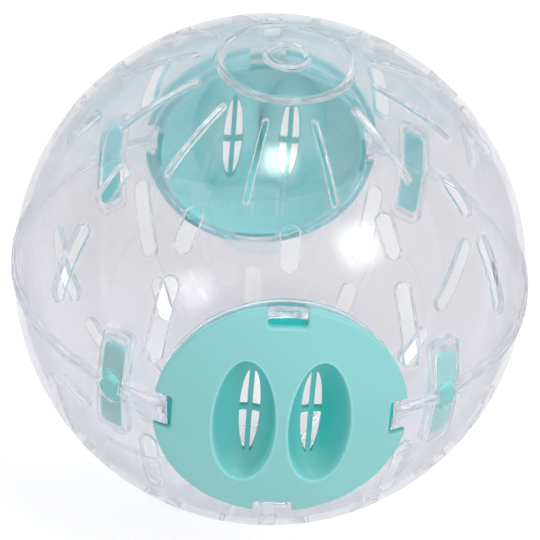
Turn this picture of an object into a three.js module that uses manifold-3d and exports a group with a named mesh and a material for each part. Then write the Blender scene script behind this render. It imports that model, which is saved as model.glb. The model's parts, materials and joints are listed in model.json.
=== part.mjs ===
// Clear exercise ball for a small pet: two clear hemispheres, two domed doors and four seam latches.
// Millimetres. The origin is the ball's centre, +Z runs up through the poles and the front door faces -Y.
import * as THREE from "three";
import { mergeVertices } from "three/addons/utils/BufferGeometryUtils.js";
import Module from "manifold-3d";

const wasm = await Module();
wasm.setup();

// Ball wall
const ballRadius = 72.5;
const wall = 2.0;
const seamGap = 0.3;
const runningGap = 0.3;

// Seam band outside, and the locating lip that the lower hemisphere carries inside
const bandHeight = 3.4;
const bandStand = 0.8;
const lipHeight = 2.0;
const lipThickness = 0.8;
const lipInset = 0.1;

// Poles: a raised ring and a short tubular boss that the ball stands on
const ringRadius = 18.6;
const ringWidth = 1.9;
const ringStand = 1.2;
const ringSlope = 0.3;
const bossRadius = 6.2;
const bossBoreRadius = 4.9;
const bossStand = 1.1;

// Air slots, by latitude in degrees; every second row is turned by half a step
const slotsAround = 12;
const slotStep = 360 / slotsAround;
const polarSlots = { low: 49.5, high: 69.8, width: 1.5, facets: 1 };
const middleSlots = { low: 35.3, high: 45.6, width: 5.0, facets: 1.5 };
const seamSlots = { low: 10.4, high: 29.8, width: 5.0, facets: 1.5 };

// Doors
const doorRadius = 34.9;
const doorStand = 2.3;
const doorThickness = 2.0;
const doorTravelGap = 0.5;
const notchWidth = 11.0;
const notchDepth = 5.1;
const notchSink = 0.4;
const skirtRadius = 30.9;
const skirtThickness = 1.5;
const skirtDepth = 7.5;

// Door seat moulded on the shells: a collar under the rim and four lugs that stand in the notches
const collarThickness = 1.7;
const lugWidth = 8.2;
const lugThickness = 1.6;
const lugStand = 0.8;

// Finger recesses and their vents
const recessOffset = 10.3;
const recessWidth = 17.0;
const recessLength = 40.0;
const recessRise = 0.5;
const recessDepth = 9.0;
const recessWall = 1.5;
const recessLean = 1.9;
const ventWidth = 5.7;
const ventLength = 28.8;
const ventRise = 0.6;
const ventBar = 1.35;

// Seam latches: a strip in a closed channel behind the wall, with a round thumb button in a slot
const latchAzimuth = 40;
const latchLength = 26.8;
const latchWidth = 6.8;
const latchCorner = 1.6;
const latchThickness = 1.3;
const latchDrop = 1.3;
const latchRise = 2.3;
const latchFall = 1.3;
const coverThickness = 1.0;
const channelWall = 1.3;
const buttonRadius = 3.15;
const buttonStand = 0.4;
const buttonChamfer = 0.3;

// Facets: the turned solids share one step, so that nested surfaces stay parallel
const turnSegments = 36;
const arcStep = 9;
const bowlSegments = 14;
const buttonSegments = 16;
const farIn = 50;
const farOut = 90;

const radians = THREE.MathUtils.degToRad;
const degrees = THREE.MathUtils.radToDeg;
const heightOn = (radius, r) => Math.sqrt(radius * radius - r * r);
const turned = (matrix, angle) => matrix.clone().multiply(new THREE.Matrix4().makeRotationZ(angle));

// Sizes that follow
const innerRadius = ballRadius - wall;
const bandRadius = ballRadius + bandStand;
const doorOuter = ballRadius + doorStand;
const doorInner = doorOuter - doorThickness;
const doorMiddle = doorOuter - doorThickness / 2;
const notchFloor = doorRadius - notchDepth;
const notchBottom = doorInner - notchSink;
const skirtInner = skirtRadius - skirtThickness;
const skirtReach = heightOn(doorInner, skirtRadius) - skirtDepth;
const doorwayRadius = skirtRadius + doorTravelGap;
const collarOuter = doorwayRadius + collarThickness;
const channelTop = ballRadius - coverThickness;
const latchOuter = channelTop - runningGap;
const latchInner = latchOuter - latchThickness;
const channelFloor = latchInner - runningGap;
const channelWidth = latchWidth + 2 * runningGap;
const backingRadius = channelFloor - channelWall;
const channelLow = -latchDrop - latchLength / 2 - latchFall - runningGap;
const channelHigh = -latchDrop + latchLength / 2 + latchRise + runningGap;

// Turn a closed three.js geometry into a solid: merged vertices, no empty triangles, faces outward.
function solid(geometry, matrix = new THREE.Matrix4()) {
  const bare = geometry.clone().applyMatrix4(matrix);
  bare.deleteAttribute("normal");
  bare.deleteAttribute("uv");
  const merged = mergeVertices(bare, 1e-4);
  const position = merged.attributes.position.array;
  const index = Array.from(merged.index.array);
  const faces = [];
  for (let i = 0; i < index.length; i += 3) {
    const [a, b, c] = index.slice(i, i + 3);
    if (a !== b && b !== c && c !== a) faces.push([a, b, c]);
  }
  const corner = (i) => new THREE.Vector3().fromArray(position, 3 * i);
  const volume = faces.reduce((sum, [a, b, c]) => sum + corner(a).dot(corner(b).cross(corner(c))), 0);
  const outward = volume < 0 ? faces.map(([a, b, c]) => [a, c, b]) : faces;
  const mesh = new wasm.Mesh({
    numProp: 3,
    vertProperties: new Float32Array(position),
    triVerts: new Uint32Array(outward.flat()),
  });
  return new wasm.Manifold(mesh);
}

function node(name, shape, material) {
  const { vertProperties, triVerts } = shape.getMesh();
  const geometry = new THREE.BufferGeometry();
  geometry.setAttribute("position", new THREE.BufferAttribute(vertProperties, 3));
  geometry.setIndex(new THREE.BufferAttribute(triVerts, 1));
  geometry.computeVertexNormals();
  const mesh = new THREE.Mesh(geometry, material);
  mesh.name = name;
  return mesh;
}

const joined = (shapes) => shapes.reduce((sum, shape) => sum.add(shape));

// A solid of revolution about +Z from [radius, height] pairs.
function lathe(profile, matrix, segments = turnSegments) {
  const points = profile.map(([r, z]) => new THREE.Vector2(r, z));
  return solid(new THREE.LatheGeometry(points, segments).rotateX(Math.PI / 2), matrix);
}

// Profile points of an arc about the origin between two angles above the equator, ends included.
function arc(radius, from, to) {
  const steps = Math.max(1, Math.round(Math.abs(to - from) / arcStep));
  return Array.from({ length: steps + 1 }, (_, i) => {
    const angle = radians(from + ((to - from) * i) / steps);
    return [radius * Math.cos(angle), radius * Math.sin(angle)];
  });
}

function ball(radius) {
  const profile = arc(radius, -90, 90);
  profile[0][0] = 0;
  profile[profile.length - 1][0] = 0;
  return lathe(profile);
}

// A block between two corners given as [x, y, z].
function block(low, high, matrix) {
  const size = low.map((value, i) => high[i] - value);
  const middle = low.map((value, i) => (value + high[i]) / 2);
  return solid(new THREE.BoxGeometry(...size).translate(...middle), matrix);
}

// A solid cylinder about +Z from the origin outward.
function core(radius, matrix) {
  return lathe([[0, 0], [radius, 0], [radius, farOut], [0, farOut]], matrix);
}

// A frame on the ball: x to the east, y to the north and z outward, at a latitude and an azimuth.
// Azimuth 0 is the front, -Y, and grows towards +X.
function onBall(latitude, azimuth) {
  const lat = radians(latitude);
  const az = radians(azimuth);
  const east = new THREE.Vector3(Math.cos(az), Math.sin(az), 0);
  const north = new THREE.Vector3(-Math.sin(lat) * Math.sin(az), Math.sin(lat) * Math.cos(az), Math.cos(lat));
  const out = new THREE.Vector3().crossVectors(east, north);
  return new THREE.Matrix4().makeBasis(east, north, out);
}

// An outline extruded outward along +Z, right through the wall.
function prism(outline, curveSegments, matrix) {
  const options = { depth: farOut - farIn, bevelEnabled: false, curveSegments };
  return solid(new THREE.ExtrudeGeometry(outline, options).translate(0, 0, farIn), matrix);
}

// A prism with rounded corners.
function plate(width, length, corner, matrix) {
  const x = width / 2 - corner;
  const y = length / 2 - corner;
  const outline = new THREE.Shape();
  outline.absarc(x, y, corner, 0, Math.PI / 2);
  outline.absarc(-x, y, corner, Math.PI / 2, Math.PI);
  outline.absarc(-x, -y, corner, Math.PI, Math.PI * 1.5);
  outline.absarc(x, -y, corner, Math.PI * 1.5, Math.PI * 2);
  return prism(outline, 1, matrix);
}

// One hemisphere's row of round-ended air slots, cut through the wall; side is 1 above the seam and -1 below.
function slotRow(row, azimuths, side) {
  const end = row.width / 2;
  const reach = ballRadius * Math.sin(radians((row.high - row.low) / 2)) - end;
  const outline = new THREE.Shape();
  outline.absarc(0, reach, end, 0, Math.PI);
  outline.absarc(0, -reach, end, Math.PI, Math.PI * 2);
  const latitude = (side * (row.low + row.high)) / 2;
  return azimuths.map((azimuth) => prism(outline, row.facets, onBall(latitude, azimuth)));
}

function airSlots() {
  const around = Array.from({ length: slotsAround }, (_, i) => i * slotStep);
  const between = around.map((azimuth) => azimuth + slotStep / 2);
  const besideDoors = around.filter((azimuth) => Math.abs(Math.cos(radians(azimuth))) < 0.95);
  const clear = besideDoors.filter((azimuth) => Math.abs(Math.cos(radians(azimuth))) > 0.1);
  return [1, -1].flatMap((side) => [
    ...slotRow(polarSlots, between, side),
    ...slotRow(middleSlots, around, side),
    ...slotRow(seamSlots, clear, side),
  ]);
}

// The ball's outside: band at the seam, ring and boss at each pole.
function outerProfile() {
  const ringIn = ringRadius - ringWidth / 2;
  const ringOut = ringRadius + ringWidth / 2;
  const bossTop = ballRadius + bossStand;
  const polar = (r) => degrees(Math.acos(r / ballRadius));
  const bandAngle = degrees(Math.asin(bandHeight / 2 / ballRadius));
  const ringTop = heightOn(ballRadius + ringStand, ringRadius);
  const half = [
    [bandRadius, bandHeight / 2],
    ...arc(ballRadius, bandAngle, polar(ringOut)),
    [ringOut - ringSlope, ringTop],
    [ringIn + ringSlope, ringTop],
    ...arc(ballRadius, polar(ringIn), polar(bossRadius)),
    [bossRadius, bossTop],
    [bossBoreRadius, bossTop],
    [bossBoreRadius, heightOn(ballRadius, bossBoreRadius)],
    [0, ballRadius],
  ];
  const mirrored = half.map(([r, z]) => [r, -z]).reverse();
  return [...mirrored, ...half];
}

// Door axis frames: local +Z points out of the ball and local +Y is up.
const frontDoor = new THREE.Matrix4().makeRotationX(Math.PI / 2);
const rearDoor = new THREE.Matrix4().makeRotationZ(Math.PI).multiply(frontDoor);
const doorFrames = [frontDoor, rearDoor];
const quarterTurns = [0, 1, 2, 3].map((i) => (i * Math.PI) / 2);

// The seat of one door on the shells, before they are split at the seam.
function doorSeat(frame) {
  const seatRadius = doorInner - runningGap;
  const collar = lathe([
    [doorwayRadius, skirtReach],
    [collarOuter, skirtReach],
    [collarOuter, heightOn(seatRadius, collarOuter)],
    [doorwayRadius, heightOn(seatRadius, doorwayRadius)],
    [doorwayRadius, skirtReach],
  ], frame);
  const tip = heightOn(ballRadius + lugStand, collarOuter);
  const foot = heightOn(ballRadius, collarOuter);
  const low = [collarOuter - lugThickness, -lugWidth / 2, foot];
  const high = [collarOuter, lugWidth / 2, tip];
  const lugs = quarterTurns.map((angle) => block(low, high, turned(frame, angle)));
  return joined([collar, ...lugs]);
}

// A latch's channel through both hemispheres, and the slot in its cover for the button.
function latchChannel(azimuth) {
  const frame = onBall(0, azimuth);
  const x = channelWidth / 2;
  const channel = block([-x, channelLow, farIn], [x, channelHigh, farOut], frame);
  const r = buttonRadius + runningGap;
  const slot = new THREE.Shape();
  slot.absarc(0, latchRise - latchDrop, r, 0, Math.PI);
  slot.absarc(0, -latchFall - latchDrop, r, Math.PI, Math.PI * 2);
  const mouth = prism(slot, 4, frame).subtract(ball(latchInner));
  return channel.intersect(ball(channelTop)).subtract(ball(channelFloor)).add(mouth);
}

// The wall behind a latch's channel, which stands into the ball.
function latchBacking(azimuth, margin = 0) {
  const x = channelWidth / 2 + channelWall + margin;
  const low = channelLow - channelWall;
  const high = channelHigh + channelWall;
  return block([-x, low, farIn], [x, high, farOut], onBall(0, azimuth)).subtract(ball(backingRadius));
}

const latchAzimuths = {
  front_left: -latchAzimuth,
  front_right: latchAzimuth,
  rear_left: latchAzimuth - 180,
  rear_right: 180 - latchAzimuth,
};

// A ring about +Z between two radii and two heights.
function band(inner, outer, low, high) {
  return lathe([[inner, low], [outer, low], [outer, high], [inner, high], [inner, low]]);
}

function shells() {
  const azimuths = Object.values(latchAzimuths);
  const doorways = joined(doorFrames.map((frame) => core(doorwayRadius, frame)));
  const hollow = ball(innerRadius).subtract(joined(azimuths.map((azimuth) => latchBacking(azimuth))));
  const channels = joined(azimuths.map(latchChannel));
  const pierced = lathe(outerProfile()).subtract(hollow).subtract(joined(airSlots()));
  const whole = pierced.subtract(channels).subtract(doorways).add(joined(doorFrames.map(doorSeat)));

  const above = block([-farOut, -farOut, seamGap / 2], [farOut, farOut, farOut]);
  const below = block([-farOut, -farOut, -farOut], [farOut, farOut, -seamGap / 2]);
  const stops = (margin) => joined([
    ...doorFrames.map((frame) => core(collarOuter + margin, frame)),
    ...azimuths.map((azimuth) => latchBacking(azimuth, margin)),
  ]);
  const lipInner = innerRadius + lipInset;
  const lipOuter = lipInner + lipThickness;
  const foot = -bandHeight / 2;
  const lip = band(lipInner, lipOuter, foot, lipHeight).subtract(stops(runningGap));
  const rabbet = band(lipInner - runningGap, lipOuter + runningGap, foot, lipHeight + runningGap);
  return {
    upper: whole.intersect(above).subtract(rabbet.subtract(stops(0))),
    lower: whole.intersect(below).add(lip),
  };
}

// A finger recess in the domed door as a closed bowl: an ellipsoid that follows the dome at its rim
// and leans towards the grip between the two recesses. lid is how far its top stands over the dome.
function bowl(side, margin, domeRadius, depth, lid) {
  const geometry = new THREE.SphereGeometry(1, bowlSegments, bowlSegments / 2).rotateX(Math.PI / 2);
  const position = geometry.attributes.position;
  for (let i = 0; i < position.count; i += 1) {
    const down = Math.max(0, -position.getZ(i));
    const up = Math.max(0, position.getZ(i));
    const x = side * (recessOffset - recessLean * down) + position.getX(i) * (recessWidth / 2 + margin);
    const y = position.getY(i) * (recessLength / 2 + margin) + recessRise;
    position.setXYZ(i, x, y, heightOn(domeRadius, Math.hypot(x, y)) - depth * down + lid * up);
  }
  return solid(geometry);
}

// The leaf-shaped vent in a recess's floor: a long ellipse, less an upright and a level bar.
function vent(side) {
  const leaf = new THREE.Shape();
  leaf.absellipse(0, 0, ventWidth / 2, ventLength / 2, 0, Math.PI * 2);
  const place = new THREE.Matrix4().makeTranslation(side * (recessOffset - recessLean), ventRise, 0);
  const bar = ventBar / 2;
  const upright = block([-bar, -ventLength, farIn], [bar, ventLength, farOut], place);
  const level = block([-ventWidth, -bar, farIn], [ventWidth, bar, farOut], place);
  return prism(leaf, 8, place).subtract(upright).subtract(level);
}

// A notch in the door's rim for a shell's lug. It stops at the skirt, which runs on below it.
function notch(angle) {
  const place = turned(new THREE.Matrix4(), angle);
  const opening = block([notchFloor, -notchWidth / 2, farIn], [farOut, notchWidth / 2, farOut], place);
  return opening.subtract(ball(notchBottom));
}

// One door in its own frame, before it is turned to the front or the rear.
function door() {
  const angleAt = (radius, r) => degrees(Math.acos(r / radius));
  const underside = arc(doorInner, 90, angleAt(doorInner, skirtInner));
  const rimUnder = arc(doorInner, angleAt(doorInner, skirtRadius), angleAt(doorInner, doorRadius));
  const top = arc(doorOuter, angleAt(doorOuter, doorRadius), 90);
  underside[0][0] = 0;
  top[top.length - 1][0] = 0;
  const cap = lathe([...underside, [skirtInner, skirtReach], [skirtRadius, skirtReach], ...rimUnder, ...top]);
  const sides = [1, -1];
  const floorDepth = recessDepth + recessWall - doorThickness / 2;
  const bowls = joined(sides.map((side) => bowl(side, recessWall, doorMiddle, floorDepth, 0)));
  const recesses = joined(sides.map((side) => bowl(side, 0, doorOuter, recessDepth, recessDepth)));
  const openings = joined([...sides.map(vent), ...quarterTurns.map(notch)]);
  return cap.add(bowls).subtract(recesses).subtract(openings);
}

// One latch: the strip in its channel, and the thumb button through the slot.
function latch(azimuth) {
  const frame = onBall(-degrees(latchDrop / latchOuter), azimuth);
  const strip = plate(latchWidth, latchLength, latchCorner, frame);
  const top = ballRadius + buttonStand;
  const button = lathe([
    [0, (latchOuter + latchInner) / 2],
    [buttonRadius, (latchOuter + latchInner) / 2],
    [buttonRadius, top - buttonChamfer],
    [buttonRadius - buttonChamfer, top],
    [0, top],
  ], frame, buttonSegments);
  return strip.intersect(ball(latchOuter)).subtract(ball(latchInner)).add(button);
}

const clear = () => new THREE.MeshStandardMaterial({
  color: 0xe3e6ee, roughness: 0.06, metalness: 0, transparent: true, opacity: 0.35,
});
const teal = () => new THREE.MeshStandardMaterial({ color: 0x8fcfcd, roughness: 0.38, metalness: 0 });

const part = new THREE.Group();
const { upper, lower } = shells();
part.add(node("upper_shell", upper, clear()));
part.add(node("lower_shell", lower, clear()));
const doorShape = door();
const doorNodes = { front_door: frontDoor, rear_door: rearDoor };
for (const [name, frame] of Object.entries(doorNodes)) {
  const mesh = node(name, doorShape, teal());
  mesh.applyMatrix4(frame);
  part.add(mesh);
}
for (const [place, azimuth] of Object.entries(latchAzimuths)) {
  part.add(node(`latch_${place}`, latch(azimuth), teal()));
}

export default part;
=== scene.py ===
# %% [markdown]
# # A clear exercise ball with teal doors
#
# The ball is two clear hemispheres that meet at a seam. A teal door closes a round doorway at the
# front and another at the rear, and four teal latches straddle the seam. This script builds the looks
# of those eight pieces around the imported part, with smooth curves and softened edges.
#
# Every surface here is a formula worked out on a grid of points. Lengths are written in millimetres,
# as on the drawing of the part, and become metres where a mesh is made.

import bpy
import numpy as np
from mathutils import Matrix
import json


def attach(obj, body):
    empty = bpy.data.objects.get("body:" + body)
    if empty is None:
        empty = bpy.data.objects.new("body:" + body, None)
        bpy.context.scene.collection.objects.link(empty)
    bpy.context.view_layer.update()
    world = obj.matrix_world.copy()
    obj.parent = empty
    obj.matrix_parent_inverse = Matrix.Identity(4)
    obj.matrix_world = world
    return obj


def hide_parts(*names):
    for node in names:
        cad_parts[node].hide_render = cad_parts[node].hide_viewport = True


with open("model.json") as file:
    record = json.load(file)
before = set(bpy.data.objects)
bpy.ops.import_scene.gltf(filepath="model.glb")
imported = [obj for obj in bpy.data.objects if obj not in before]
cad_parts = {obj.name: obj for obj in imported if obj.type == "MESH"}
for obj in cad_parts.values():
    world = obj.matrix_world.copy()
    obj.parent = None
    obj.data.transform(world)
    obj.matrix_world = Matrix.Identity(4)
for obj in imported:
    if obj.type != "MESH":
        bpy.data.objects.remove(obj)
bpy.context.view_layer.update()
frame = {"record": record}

# %% [markdown]
# ## The sizes that shape the part
#
# These are the part's own sizes. The wall is 2 mm thick, the doors stand 2.3 mm proud of the ball and
# each door's skirt dips into a collar moulded on the shells. Heights on the ball are always measured
# from its centre, so that a curved face is one number.
#
# Slots sit in three rows of each shell. A row is given by the latitudes of its two ends, half the width
# of a slot and the radius of its outer edge, and the same numbers serve above and below the seam.
#
# A channel follows from its latch: it is as much larger as the gap, and longer by the latch's travel.

# %%
# Sizes in millimetres
BALL, WALL, HALF_SEAM, GAP = 72.5, 2.0, 0.15, 0.3
BAND_HALF, BAND_STAND = 1.7, 0.8
REBATE, REBATE_END, LIP, LIP_END, LIP_FOOT = 1.2, 2.3, 0.9, 2.0, 1.7
RING, RING_HALF, RING_STAND = 18.6, 0.95, 1.2
BOSS, BORE, BOSS_STAND = 6.2, 4.9, 1.1
DOOR, DOOR_OUT, DOOR_IN = 34.9, 74.8, 72.8
SKIRT_OUT, SKIRT_IN, SKIRT_END = 30.9, 29.4, 58.42
DOORWAY, COLLAR_OUT, LUG_HALF, LUG_STAND = 31.4, 33.1, 4.1, 0.8
NOTCH_FLOOR, NOTCH_HALF, NOTCH_BASE, NOTCH_EASE = 29.8, 5.5, 72.4, 0.6
RECESS_X, RECESS_RISE, RECESS_HALF_W, RECESS_HALF_L = 10.3, 0.5, 8.5, 20.0
RECESS_DEPTH, RECESS_LEAN, RECESS_WALL, RECESS_EASE = 9.0, 1.9, 1.5, 0.8
VENT_HALF_W, VENT_HALF_L, VENT_BAR, VENT_RISE = 2.85, 14.4, 0.675, 0.6
POLE_SLOTS = (49.5, 69.8, 0.75, 0.28)
SHORT_SLOTS = (35.3, 45.6, 2.5, 0.35)
LONG_SLOTS = (10.4, 29.8, 2.5, 0.35)
SLOT_INNER_EASE = 0.3
LATCH_AZIMUTHS = {"front_left": -40, "front_right": 40, "rear_left": -140, "rear_right": 140}
LATCH_HALF_W, LATCH_HALF_L, LATCH_IN, LATCH_OUT, LATCH_DROP = 3.4, 13.4, 69.9, 71.2, 1.3
BUTTON, BUTTON_TOP, BUTTON_EASE = 3.15, 72.9, 0.35
LATCH_RISE, LATCH_FALL, CHANNEL_WALL = 2.3, 1.3, 1.3
CHANNEL_FLOOR, CHANNEL_TOP, CHANNEL_HALF_W = LATCH_IN - GAP, LATCH_OUT + GAP, LATCH_HALF_W + GAP
CHANNEL_LOW = -LATCH_DROP - LATCH_FALL - LATCH_HALF_L - GAP
CHANNEL_HIGH = -LATCH_DROP + LATCH_RISE + LATCH_HALF_L + GAP
INNER = BALL - WALL
print("channel:", round(CHANNEL_LOW, 2), "to", round(CHANNEL_HIGH, 2), "mm along the ball")

# %% [markdown]
# ## Turning points into meshes
#
# A piece is a grid of points joined by four-sided faces. Where a grid closes on itself its last row
# joins its first, and where it shrinks to one point, as at a pole, the equal points are merged.
# Each mesh also carries its smooth normals in an attribute, for the cuts that follow.

# %%
# Meshes from grids
def grid_faces(rows, columns, round_rows=False):
    """Faces of a grid whose columns close on themselves, and its rows too if asked."""
    r = np.arange(rows if round_rows else rows - 1)
    c = np.arange(columns)
    a, b = r % rows, (r + 1) % rows
    left, right = c, (c + 1) % columns
    corners = [a[:, None] * columns + left, a[:, None] * columns + right,
               b[:, None] * columns + right, b[:, None] * columns + left]
    return np.stack(corners, -1).reshape(-1, 4)


def read(items, name, width=3, kind=np.float32):
    """One value of each item of a mesh as an array, a row for each item if the value has parts."""
    values = np.empty(len(items) * width, dtype=kind)
    items.foreach_get(name, values)
    return values.reshape(-1, width) if width > 1 else values


def keep_normals(mesh):
    """Writes a mesh's normals into the attribute that the next cut reads."""
    normals = read(mesh.corner_normals, "vector")
    mesh.attributes.new("soft_normal", "FLOAT_VECTOR", "CORNER").data.foreach_set("vector", normals.ravel())


def mesh_object(name, points, faces, caps=()):
    """A smooth mesh from points in millimetres, closed, with normals outward."""
    mesh = bpy.data.meshes.new(name)
    mesh.from_pydata((points * 0.001).tolist(), [], faces.tolist() + [list(cap) for cap in caps])
    obj = bpy.data.objects.new(name, mesh)
    bpy.context.scene.collection.objects.link(obj)
    weld = obj.modifiers.new("weld", "WELD")
    weld.merge_threshold = 1e-6
    apply_modifiers(obj)
    mesh = obj.data
    if signed_volume(mesh) < 0:
        mesh.flip_normals()
    mesh.shade_smooth()
    mesh.set_sharp_from_angle(angle=np.radians(34))
    keep_normals(mesh)
    return obj


def apply_modifiers(obj):
    """Replaces an object's mesh by the mesh that its modifiers give."""
    graph = bpy.context.evaluated_depsgraph_get()
    result = bpy.data.meshes.new_from_object(obj.evaluated_get(graph), depsgraph=graph)
    obj.modifiers.clear()
    obj.data = result


def coordinates(mesh):
    """All vertex places of a mesh, in millimetres."""
    return read(mesh.vertices, "co") * 1000.0


def signed_volume(mesh):
    """The volume by the divergence formula: one third of place times area along the face's normal."""
    mesh.calc_loop_triangles()
    corners = read(mesh.loop_triangles, "vertices", kind=np.int32)
    a, b, c = coordinates(mesh)[corners].transpose(1, 0, 2)
    return np.einsum("ij,ij->i", a, np.cross(b, c)).sum() / 6


# %% [markdown]
# ## Cutting without dents
#
# Cutting one solid out of another makes long thin faces, and a normal averaged over those looks
# dented. A finer mesh or a bevel after the cut would hide that, at the price of many faces. Here each
# solid carries its own smooth normals in an attribute instead, the cut keeps them, and they are put
# back afterwards. A normal that has come out too far from its face gives way to the face's own.

# %%
# Cuts
def carve(base, *steps):
    """Joins or cuts solids one after another, then puts the smooth normals back."""
    tools = []
    for number, (operation, tool) in enumerate(steps):
        step = base.modifiers.new(f"step_{number}", "BOOLEAN")
        step.operation, step.object, step.solver = operation, tool, "MANIFOLD"
        tools.append(tool)
    apply_modifiers(base)
    for tool in tools:
        bpy.data.objects.remove(tool)
    mesh = base.data
    soft = read(mesh.attributes["soft_normal"].data, "vector")
    corners = read(mesh.polygons, "loop_total", 1, np.int32)
    flat = np.repeat(read(mesh.polygon_normals, "vector"), corners, axis=0)
    along = np.einsum("ij,ij->i", soft, flat)
    soft = soft * np.where(along < 0, -1.0, 1.0)[:, None]
    size = np.linalg.norm(soft, axis=1)
    lost = (size < 1e-3) | (np.abs(along) < 0.3 * size)
    soft = np.where(lost[:, None], flat, soft / np.maximum(size, 1e-6)[:, None])
    mesh.shade_smooth()
    mesh.normals_split_custom_set(soft.tolist())
    mesh.attributes.remove(mesh.attributes["soft_normal"])
    print(base.name, "faces:", len(mesh.polygons))
    return base


# %% [markdown]
# ## Profiles
#
# A profile is a line in the plane of radius and height that is turned about an axis. Moulded edges are
# never sharp, so each corner of a profile is eased by a small arc. A bevel could round them after the
# turning, but an arc in the profile keeps its exact radius and runs smoothly into the next curve.

# %%
# Profiles
def height_on(radius, r):
    """Height on a sphere at distance r from its axis: the root of radius squared less r squared."""
    return np.sqrt(np.maximum(radius * radius - np.square(r), 0.0))


def arc(radius, start, end, step=1.5):
    """Points of an arc about the centre between two angles above the equator, in degrees."""
    angle = np.radians(np.linspace(start, end, max(2, int(abs(end - start) / step) + 2)))
    return [tuple(p) for p in np.stack([radius * np.cos(angle), radius * np.sin(angle)], -1)]


def angle_at(radius, r):
    """The angle above the equator at which a sphere is at distance r from its axis."""
    return np.degrees(np.arccos(r / radius))


def eased(corners, steps=4):
    """A line through corners (x, y, ease): each corner is replaced by an arc of radius ease, whose
    centre is on the bisector, at ease divided by the sine of half the corner's angle."""
    points = np.array([c[:2] for c in corners], dtype=float)
    ease = [c[2] if len(c) > 2 else 0.0 for c in corners]
    out = []
    for i, (p, q) in enumerate(zip(points, ease)):
        if not q:
            out.append(p)
            continue
        before, after = points[i - 1] - p, points[(i + 1) % len(points)] - p
        u, v = before / np.linalg.norm(before), after / np.linalg.norm(after)
        half = np.arccos(np.clip(u @ v, -1, 1)) / 2
        middle = p + (u + v) / np.linalg.norm(u + v) * q / np.sin(half)
        reach = q / np.tan(half)
        a, b = p + u * reach - middle, p + v * reach - middle
        turn = np.pi - 2 * half
        share = np.linspace(0, 1, steps + 1)[:, None]
        arc_points = (np.sin((1 - share) * turn) * a + np.sin(share * turn) * b) / np.sin(turn)
        out.extend(middle + arc_points)
    return np.array(out)


def turned(name, profile, axes, segments=240, ring=False):
    """A profile of (radius, height) turned about an axis: place = radius (cos, sin) across + height out."""
    profile = np.asarray(profile, dtype=float)
    angle = np.linspace(0, 2 * np.pi, segments, endpoint=False)
    local = np.stack(np.broadcast_arrays(
        profile[:, :1] * np.cos(angle), profile[:, :1] * np.sin(angle), profile[:, 1:]), -1)
    return mesh_object(name, local.reshape(-1, 3) @ np.asarray(axes, dtype=float),
                       grid_faces(len(profile), segments, ring))


# %% [markdown]
# ## Outlines and plugs
#
# An outline is a closed line with its outward directions, seen from outside the ball. Carried along a
# list of offsets and distances from the centre, it becomes a plug with curved ends that cuts a hole
# with flared edges. One plug serves for all slots of a row: it is copied through the frames in which
# the row's slots sit.
#
# Where the end of a plug stays in sight, as on a latch or at the floor of its channel, one flat face
# over a curved rim would break the light. Such an end is closed by rings that shrink to a point along
# the sphere.

# %%
# Outlines and plugs
def evenly(points, step):
    """A closed line with points added along it wherever two lie further apart than the step."""
    following = np.roll(points, -1, axis=0)
    counts = np.maximum(1, np.ceil(np.linalg.norm(following - points, axis=1) / step).astype(int))
    share = np.concatenate([np.arange(n) / n for n in counts])[:, None]
    return np.repeat(points, counts, axis=0) * (1 - share) + np.repeat(following, counts, axis=0) * share


def outward(points):
    """Outward directions of a closed line that runs to the left about its inside."""
    along = np.roll(points, -1, axis=0) - np.roll(points, 1, axis=0)
    along /= np.linalg.norm(along, axis=1)[:, None]
    return np.stack([along[:, 1], -along[:, 0]], -1)


def rounded(x0, x1, y0, y1, corner, step=1.4, steps=8):
    """A rectangle with round corners; a corner of half its width makes it a slot with round ends."""
    corner = min(corner, (x1 - x0) / 2 - 1e-3, (y1 - y0) / 2 - 1e-3)
    corners = [(x1, y0, corner), (x1, y1, corner), (x0, y1, corner), (x0, y0, corner)]
    return evenly(eased(corners, steps), step)


def circle(radius, steps=240):
    """A round outline."""
    angle = np.linspace(0, 2 * np.pi, steps, endpoint=False)
    return radius * np.stack([np.cos(angle), np.sin(angle)], -1)


def on_ball(latitude, azimuth):
    """Axes east, north and out at a place on the ball; azimuth 0 is the front and grows towards +X."""
    lat, az = np.radians(latitude), np.radians(azimuth)
    east = np.array([np.cos(az), np.sin(az), 0.0])
    north = np.array([-np.sin(lat) * np.sin(az), np.sin(lat) * np.cos(az), np.cos(lat)])
    return np.stack([east, north, np.cross(east, north)])


def quarter(axes, turns):
    """Axes turned about their own outward direction by a number of quarter turns."""
    c, s = np.cos(turns * np.pi / 2), np.sin(turns * np.pi / 2)
    return np.array([[c, s, 0], [-s, c, 0], [0, 0, 1.0]]) @ axes


def plugs(name, outline, rings, frames, level=False):
    """Solids over an outline: each ring is the outline moved outward by an offset and drawn in by a
    share towards its middle, at a distance from the ball's centre (or at a level height)."""
    normals, middle = outward(outline), (outline.min(0) + outline.max(0)) / 2
    rings = [(r if len(r) > 2 else (*r, 1.0)) for r in rings]
    flat = np.stack([middle + share * (outline + offset * normals - middle) for offset, _, share in rings])
    size = np.array([r[1] for r in rings])[:, None]
    height = size + 0 * flat[..., 0] if level else height_on(size, np.linalg.norm(flat, axis=-1))
    local = np.concatenate([flat, height[..., None]], -1).reshape(-1, 3)
    rows, columns = len(rings), len(outline)
    points = np.concatenate([local @ axes for axes in frames])
    steps = np.arange(len(frames)) * len(local)
    faces = (grid_faces(rows, columns)[None] + steps[:, None, None]).reshape(-1, 4)
    caps = []
    if rings[0][2] > 0:
        caps += (np.arange(columns)[None, ::-1] + steps[:, None]).tolist()
    if rings[-1][2] > 0:
        caps += (np.arange(columns)[None] + (rows - 1) * columns + steps[:, None]).tolist()
    return mesh_object(name, points, faces, caps)


def domed(offset, distance, steps=6):
    """Rings that close the end of a plug along a sphere, from the middle to the outline."""
    return [(offset, distance, share) for share in np.linspace(0, 1, steps + 1)]


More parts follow.
